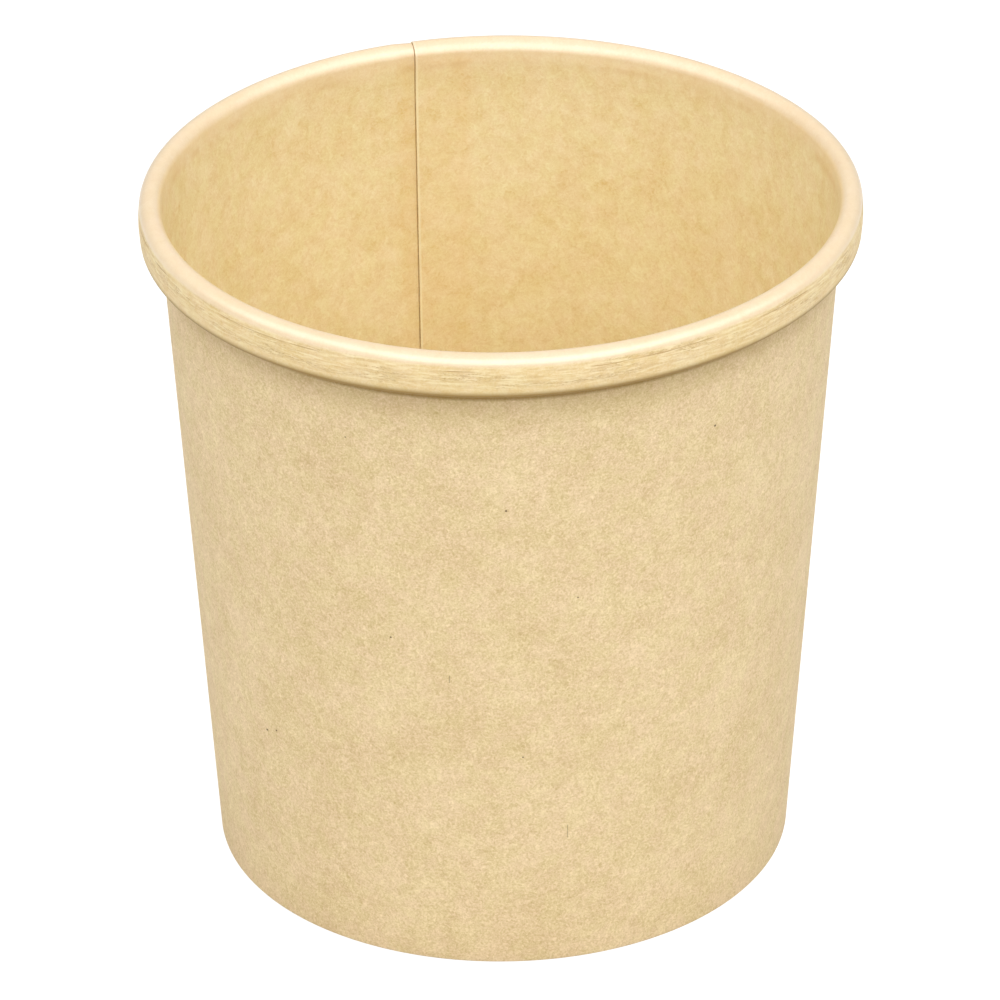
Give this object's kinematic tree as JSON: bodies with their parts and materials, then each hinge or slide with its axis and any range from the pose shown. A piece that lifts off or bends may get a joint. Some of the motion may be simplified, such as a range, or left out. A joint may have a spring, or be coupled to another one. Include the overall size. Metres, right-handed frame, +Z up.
{
  "type": "paper soup cup",
  "caption": "Open round soup cup of plain kraft board with a fat rolled rim, a tapered wall with a lap seam up the back, and a flat bottom raised above the foot by a hem.",
  "frame": {"origin": "middle of the foot, on the surface the cup stands on", "axes": "+Z up along the cup's axis; the camera looks from -Y; the lap seam is on the back wall at +Y, a little towards -X"},
  "size_m": [0.098, 0.098, 0.0987],
  "materials": {
    "wall_board": "matte outside, satin coating inside",
    "disc_board": "satin coating on the food side"
  },
  "bodies": {
    "root": {"side_wall": "wall_board", "bottom_disc": "disc_board"}
  },
  "joints": []
}
